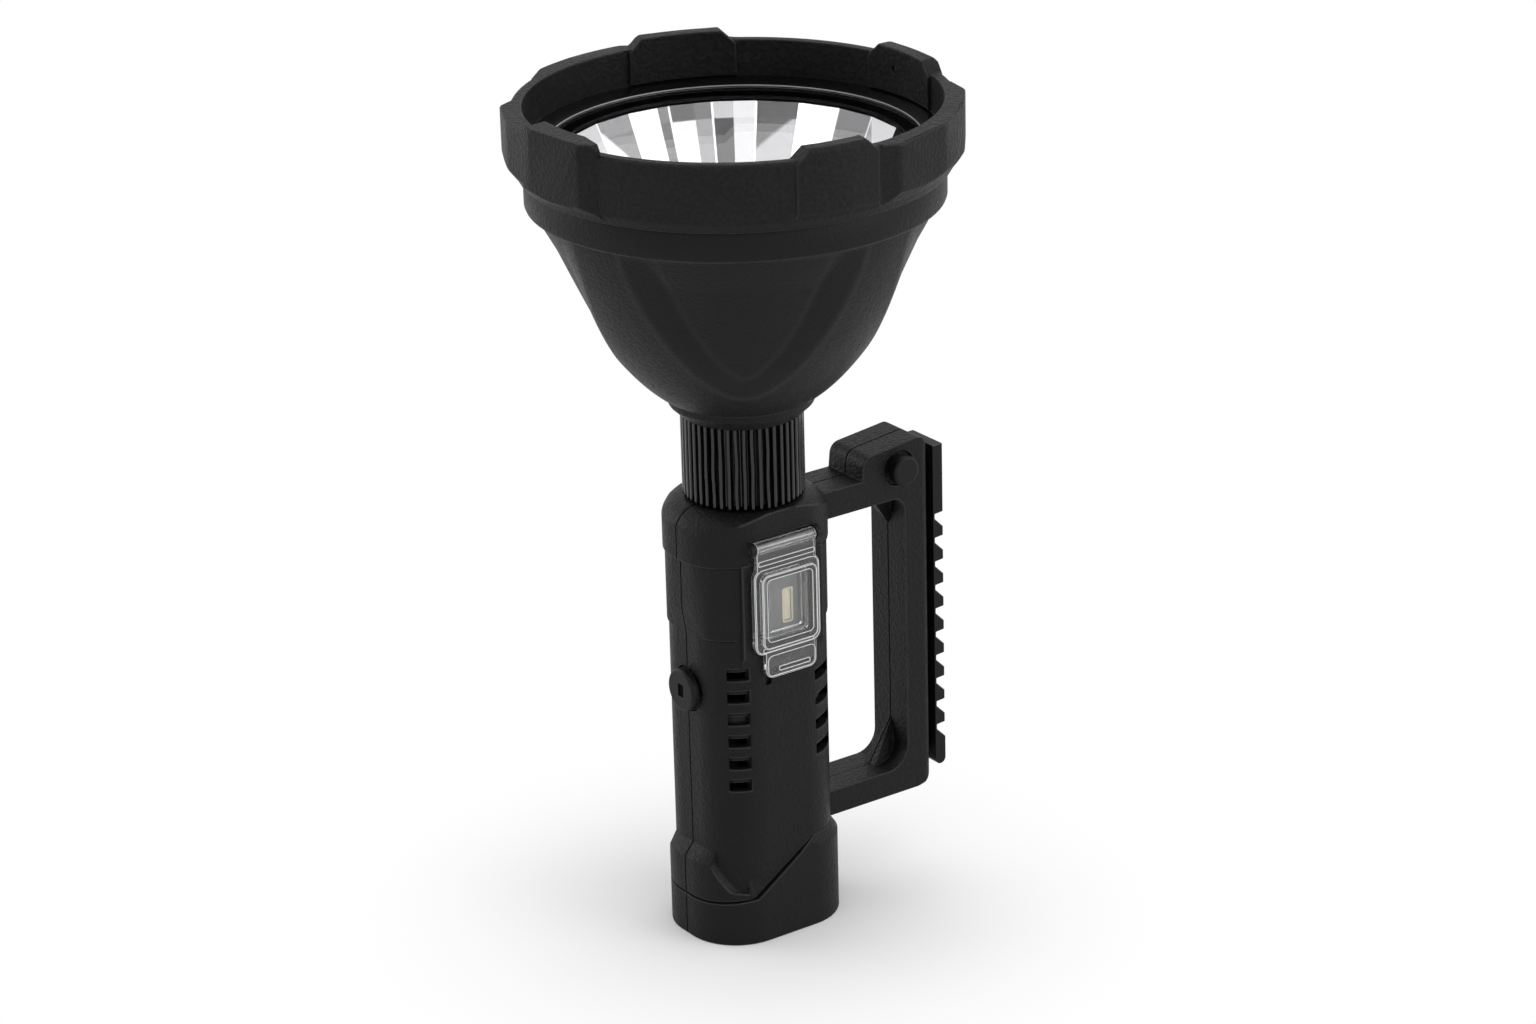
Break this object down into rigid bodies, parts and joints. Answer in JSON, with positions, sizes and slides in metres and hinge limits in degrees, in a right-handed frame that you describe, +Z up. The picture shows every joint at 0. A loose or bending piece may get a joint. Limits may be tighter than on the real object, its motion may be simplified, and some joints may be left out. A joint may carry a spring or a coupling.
{
  "type": "rechargeable flashlight",
  "caption": "Standing hand flashlight with a wide bell head, ribbed neck, closed side handle with a toothed grip rail, push switches and a clear hinged door over its charging socket.",
  "frame": {"origin": "centre of the flat underside of the base, on the lamp's axis", "axes": "+Z up the lamp's axis to the lens, +X to the handle, -Y to the face with the charging door"},
  "size_m": [0.133, 0.1305, 0.2586],
  "materials": {
    "body_plastic": "fine grained black moulding",
    "head_plastic": "fine grained black moulding",
    "bumper_rubber": "matt black rubber",
    "bezel_rubber": "black rubber with a leather-like grain",
    "seal_rubber": "matt black",
    "neck_plastic": "glossy black ribs",
    "ring_plastic": "satin black",
    "rail_plastic": "satin black",
    "button_plastic": "satin black",
    "window_dark": "dark clear",
    "lens_clear": "clear, polished",
    "door_clear": "clear, polished",
    "reflector_mirror": "bright mirror coating on plastic",
    "source_phosphor": "pale yellow dome",
    "source_board_metal": "white coated",
    "sink_aluminium": "bare",
    "cell_wrap": "blue wrapped can",
    "holder_plastic": "plain moulding",
    "contact_brass": "bare",
    "board_resin": "green circuit board",
    "socket_cream": "cream moulding",
    "panel_grey": "grey moulding",
    "screw_steel": "plated",
    "lead_red": "insulated wire"
  },
  "bodies": {
    "body": {"body_front_shell": "body_plastic", "body_rear_shell": "body_plastic", "foot_bumper_front": "bumper_rubber", "foot_bumper_rear": "bumper_rubber", "body_screws": "screw_steel", "neck_sleeve": "neck_plastic", "neck_collar": "body_plastic", "head_shell": "head_plastic", "bezel": "bezel_rubber", "bezel_set_screws": "screw_steel", "lens_ring": "ring_plastic", "lens": "lens_clear", "lens_seal": "seal_rubber", "reflector": "reflector_mirror", "light_source": "source_phosphor", "source_board": "source_board_metal", "heat_sink": "sink_aluminium", "battery_cells": "cell_wrap", "battery_holder": "holder_plastic", "battery_contacts": "contact_brass", "control_board": "board_resin", "charge_socket": "socket_cream", "socket_panel": "panel_grey", "door_hinge_pin": "screw_steel", "side_switch": "holder_plastic", "handle_switch": "holder_plastic", "grip_rail": "rail_plastic", "rail_screws": "screw_steel", "source_lead": "lead_red", "switch_lead": "lead_red"},
    "charge_door": {"charge_door": "door_clear"},
    "side_button": {"side_button": "button_plastic", "button_window": "window_dark"},
    "handle_button": {"handle_button": "button_plastic"}
  },
  "joints": [
    {"name": "door_hinge", "type": "hinge", "parent": "body", "child": "charge_door", "pos_m": [0, -0.0193, 0.1267], "axis": [-1, 0, 0], "range_deg": [0, 110]},
    {"name": "side_button_press", "type": "slide", "parent": "body", "child": "side_button", "axis": [1, 0, 0], "range_m": [0, 0.0012], "stiffness_N_per_m": 500, "springref_m": -0.002},
    {"name": "handle_button_press", "type": "slide", "parent": "body", "child": "handle_button", "axis": [0, 1, 0], "range_m": [0, 0.0018], "stiffness_N_per_m": 500, "springref_m": -0.002}
  ]
}
